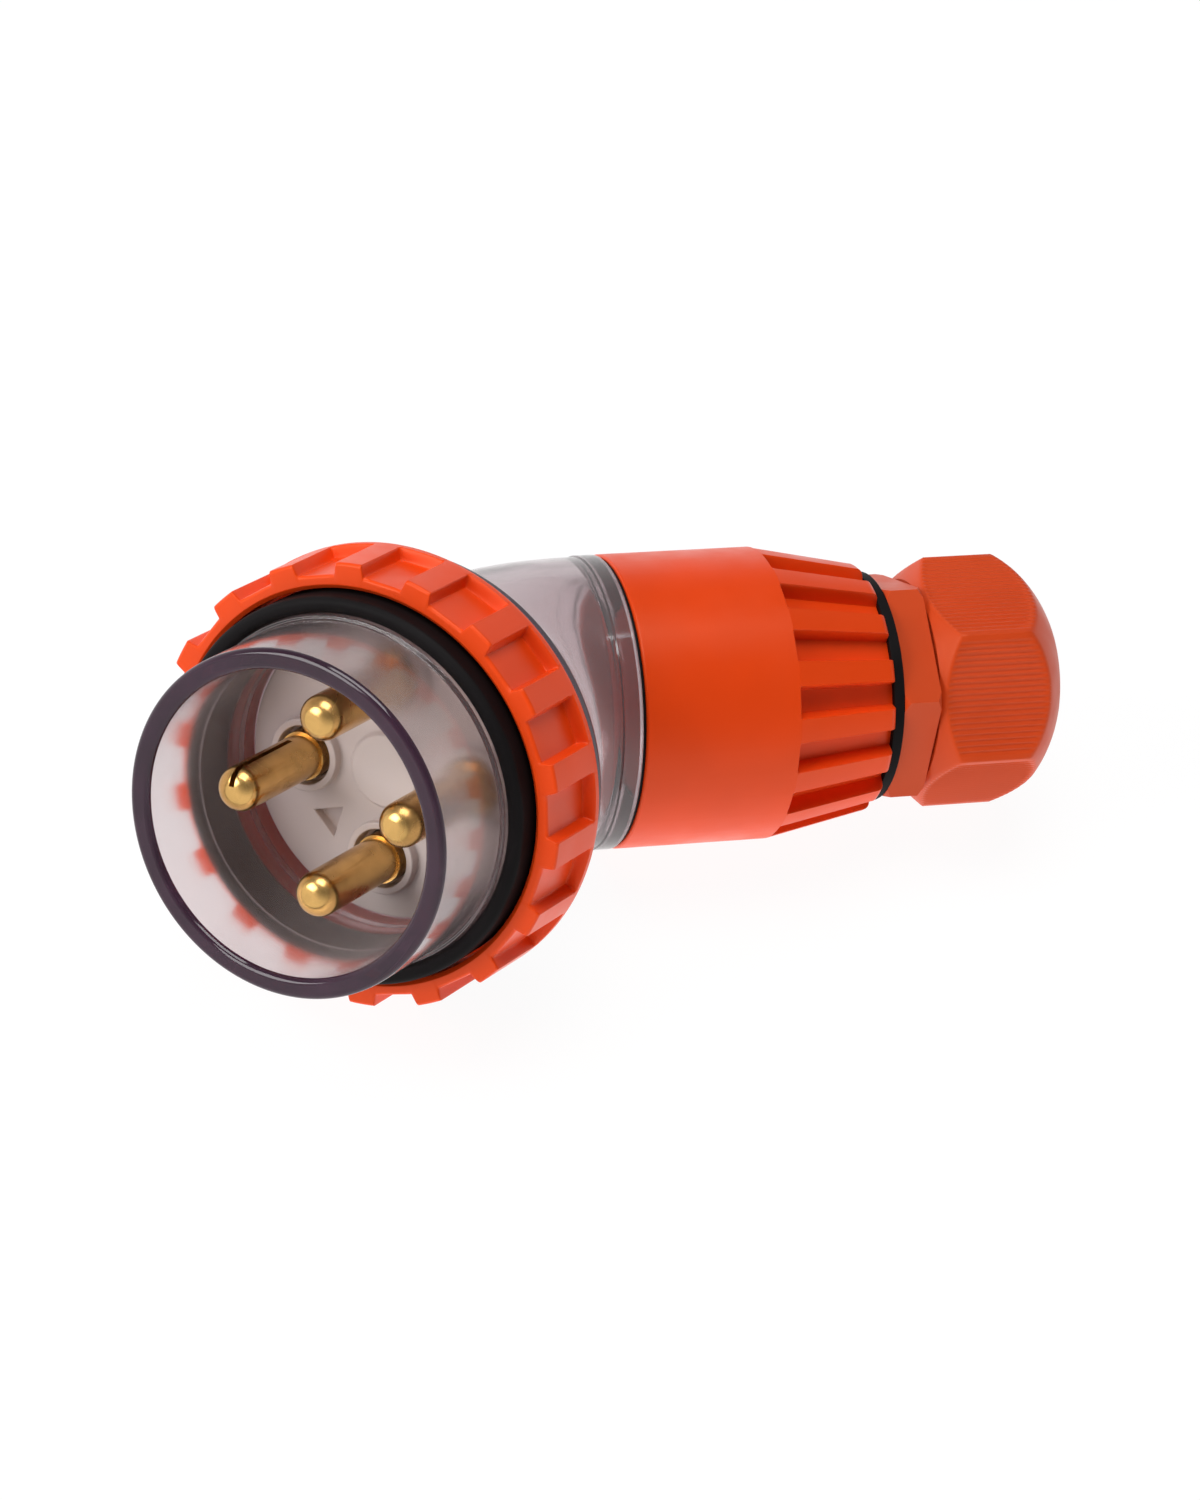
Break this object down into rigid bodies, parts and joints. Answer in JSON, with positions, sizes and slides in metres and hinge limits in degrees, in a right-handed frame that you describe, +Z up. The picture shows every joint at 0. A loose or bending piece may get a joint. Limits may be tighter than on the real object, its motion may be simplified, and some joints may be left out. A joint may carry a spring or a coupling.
{
  "type": "angled three-phase plug",
  "caption": "Angled industrial plug: round brass pins in a clear shroud, a turning locking ring, a clear elbow, a fluted barrel and an open cable gland.",
  "frame": {"origin": "centre of the pin circle, on the plane of the pin face", "axes": "+X along the tail, the way the cable leaves; +Z up as the plug lies at rest on its barrel and its locking ring; the pins point towards -X and -Y, raised"},
  "size_m": [0.139, 0.0766, 0.0629],
  "materials": {
    "clear_plastic": "clear moulded polycarbonate",
    "orange_plastic": "moulded, low gloss",
    "gland_plastic": "moulded nylon, satin",
    "carrier_plastic": "moulded, satin",
    "brass": "turned",
    "rubber": "moulded, matt",
    "steel": "zinc plated"
  },
  "bodies": {
    "plug_body": {"pin_shroud": "clear_plastic", "pin_carrier": "carrier_plastic", "pin_phase_1": "brass", "pin_phase_2": "brass", "pin_earth": "brass", "pin_phase_3": "brass", "terminal_screw_phase_1": "steel", "terminal_screw_phase_2": "steel", "terminal_screw_earth": "steel", "terminal_screw_phase_3": "steel", "face_seal": "rubber", "housing_gasket": "rubber", "angled_housing": "clear_plastic", "barrel_gasket": "rubber", "barrel": "orange_plastic", "gland_washer": "rubber", "gland_body": "gland_plastic", "gland_bush": "rubber"},
    "locking_ring": {"locking_ring": "orange_plastic"},
    "gland_nut": {"gland_nut": "gland_plastic"}
  },
  "joints": [
    {"name": "ring_turn", "type": "hinge", "parent": "plug_body", "child": "locking_ring", "pos_m": [0, 0, 0], "axis": [-0.7071, -0.6384, 0.3041], "continuous": true},
    {"name": "nut_turn", "type": "hinge", "parent": "plug_body", "child": "gland_nut", "pos_m": [0.02333, 0.02107, -0.01003], "axis": [1, 0, 0], "range_deg": [-330, 45]}
  ]
}
